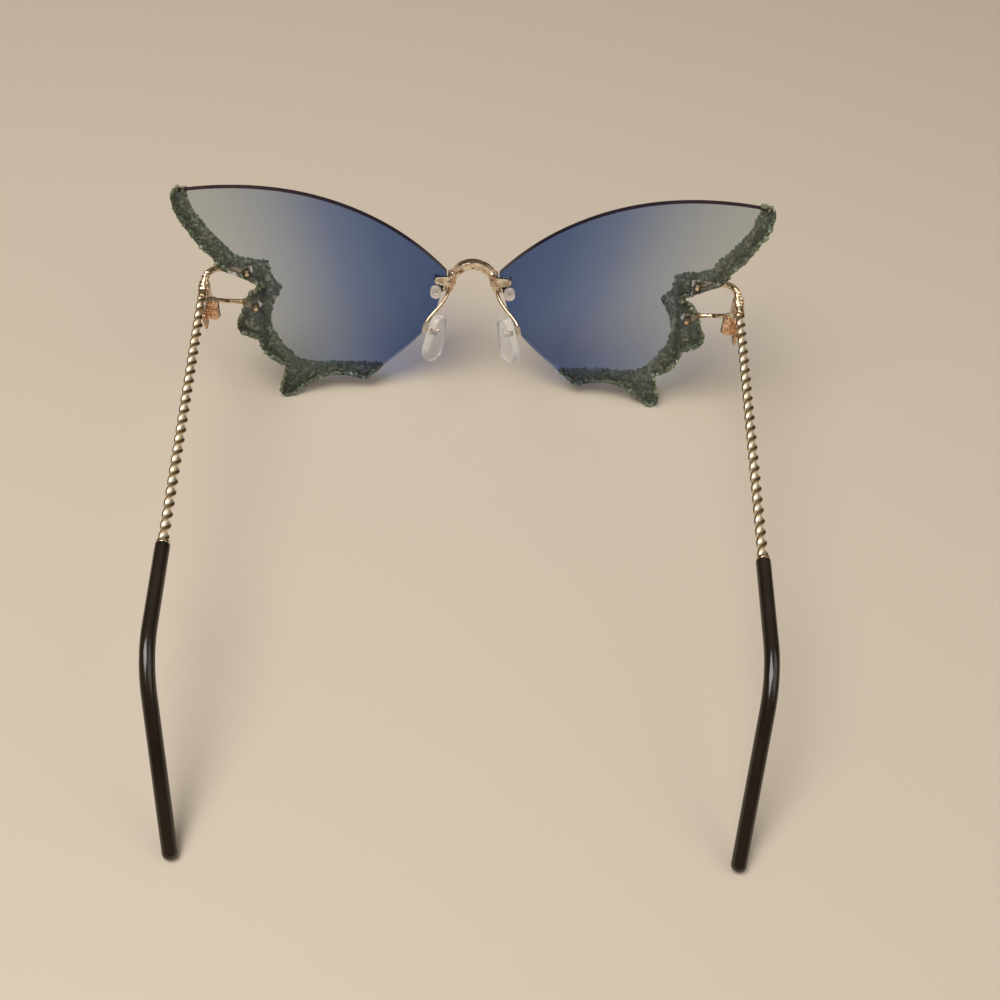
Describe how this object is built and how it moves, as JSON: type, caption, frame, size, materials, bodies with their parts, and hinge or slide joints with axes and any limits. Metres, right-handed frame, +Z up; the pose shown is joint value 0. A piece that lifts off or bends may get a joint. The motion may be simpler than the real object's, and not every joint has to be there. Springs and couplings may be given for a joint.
{
  "type": "butterfly sunglasses",
  "caption": "Rimless butterfly-wing sunglasses with tinted lenses, crystal-edged wing tips, an arched metal bridge, nose pads and folding twisted-wire temples.",
  "frame": {"origin": "middle of the bounding box at table level, with the glasses standing open on the lens tips and the temple ends", "axes": "+X to the wearer's left across the front, +Y from the front to the temple ends, +Z up"},
  "size_m": [0.1502, 0.1545, 0.0644],
  "materials": {
    "lens_tint": "polished, transparent, tinted deep blue at the nose and fading to pale grey",
    "clear_glue": "clear set glue, looks grey-green from behind",
    "crystal": "cut, clear with a grey-green foil look",
    "clear_plastic": "clear",
    "pad_silicone": "clear silicone",
    "gold_metal": "polished light gold plating",
    "gold_hammered": "light gold plating over a hammered surface",
    "gold_rope": "light gold plating on twisted wire",
    "gold_hinge": "rose gold plating",
    "gold_screw": "polished gold plating",
    "core_wire": "drawn wire",
    "tip_plastic": "glossy, near-black brown"
  },
  "bodies": {
    "front": {"bridge": "gold_hammered", "lens_left": "lens_tint", "lens_right": "lens_tint", "crystal_bed_left": "clear_glue", "crystal_bed_right": "clear_glue", "crystal_chips_left": "crystal", "crystal_chips_right": "crystal", "bridge_plug_left": "clear_plastic", "bridge_plug_right": "clear_plastic", "pad_arm_left": "gold_metal", "pad_arm_right": "gold_metal", "pad_box_left": "gold_metal", "pad_box_right": "gold_metal", "pad_screw_left": "gold_screw", "pad_screw_right": "gold_screw", "endpiece_left": "gold_metal", "endpiece_right": "gold_metal", "endpiece_bushings_left": "clear_plastic", "endpiece_bushings_right": "clear_plastic", "endpiece_screws_left": "gold_screw", "endpiece_screws_right": "gold_screw", "endpiece_nuts_left": "gold_screw", "endpiece_nuts_right": "gold_screw", "hinge_front_leaf_left": "gold_hinge", "hinge_front_leaf_right": "gold_hinge", "hinge_screw_left": "gold_screw", "hinge_screw_right": "gold_screw"},
    "temple_left": {"hinge_rear_leaf_left": "gold_hinge", "temple_rope_left": "gold_rope", "temple_collar_left": "gold_metal", "temple_core_left": "core_wire", "temple_sleeve_left": "tip_plastic"},
    "temple_right": {"hinge_rear_leaf_right": "gold_hinge", "temple_rope_right": "gold_rope", "temple_collar_right": "gold_metal", "temple_core_right": "core_wire", "temple_sleeve_right": "tip_plastic"},
    "pad_left": {"nose_pad_left": "pad_silicone"},
    "pad_right": {"nose_pad_right": "pad_silicone"}
  },
  "joints": [
    {"name": "temple_left_fold", "type": "hinge", "parent": "front", "child": "temple_left", "pos_m": [0.06593, -0.05465, 0.03848], "axis": [0, 0, 1], "range_deg": [0, 87]},
    {"name": "temple_right_fold", "type": "hinge", "parent": "front", "child": "temple_right", "pos_m": [-0.06593, -0.05465, 0.03848], "axis": [0, 0, -1], "range_deg": [0, 83]},
    {"name": "nose_pad_left_rock", "type": "hinge", "parent": "front", "child": "pad_left", "pos_m": [0.011, -0.06207, 0.02674], "axis": [-0.6399, -0.6418, -0.4226], "range_deg": [-12, 12]},
    {"name": "nose_pad_right_rock", "type": "hinge", "parent": "front", "child": "pad_right", "pos_m": [-0.011, -0.06207, 0.02674], "axis": [-0.6399, 0.6418, 0.4226], "range_deg": [-12, 12]}
  ]
}
